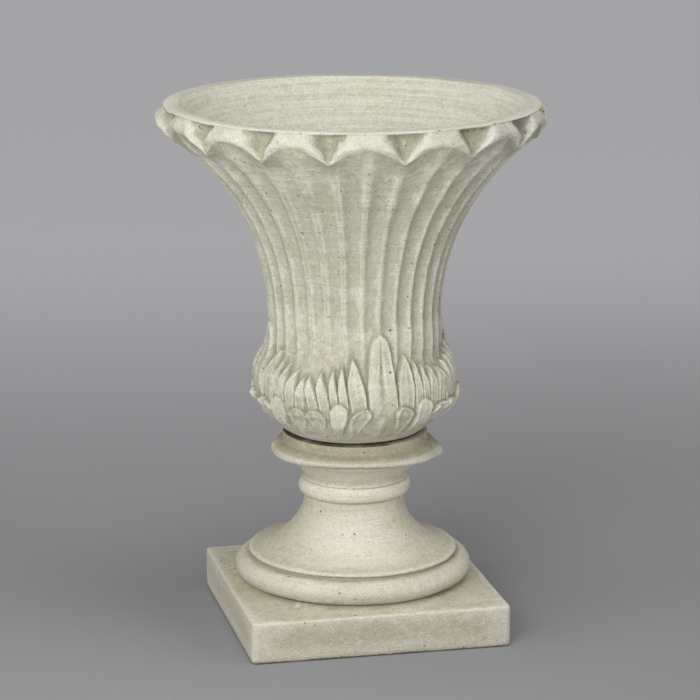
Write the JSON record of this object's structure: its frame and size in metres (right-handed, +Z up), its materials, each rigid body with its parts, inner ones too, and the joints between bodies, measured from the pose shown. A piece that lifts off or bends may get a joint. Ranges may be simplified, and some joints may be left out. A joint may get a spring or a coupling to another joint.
{
  "type": "urn",
  "caption": "Cast stone garden urn: fluted flaring bowl with a lobed rim and acanthus leaves on its bulb, lifting off a turned pedestal with a square plinth.",
  "frame": {"origin": "middle of the plinth's underside, on the floor", "axes": "+Z up the urn's axis, -Y out of the plinth's front face, +X to the viewer's right"},
  "size_m": [0.4524, 0.4524, 0.6241],
  "materials": {
    "bowl_stone": "matt cast stone, greenish off-white wash with pale edges and pinholes",
    "pedestal_stone": "matt cast stone, warmer off-white wash with pinholes",
    "tube_plastic": "grey pipe",
    "pad_rubber": "dark setting pad"
  },
  "bodies": {
    "pedestal": {"pedestal": "pedestal_stone", "setting_pad_1": "pad_rubber", "setting_pad_2": "pad_rubber", "setting_pad_3": "pad_rubber"},
    "drain_tube": {"drain_tube": "tube_plastic"},
    "bowl": {"bowl": "bowl_stone"}
  },
  "joints": [
    {"name": "bowl_turn", "type": "hinge", "parent": "pedestal", "child": "drain_tube", "pos_m": [0, 0, 0.2335], "axis": [0, 0, 1], "continuous": true},
    {"name": "bowl_lift", "type": "slide", "parent": "drain_tube", "child": "bowl", "axis": [0, 0, 1], "range_m": [0, 0.15]}
  ]
}
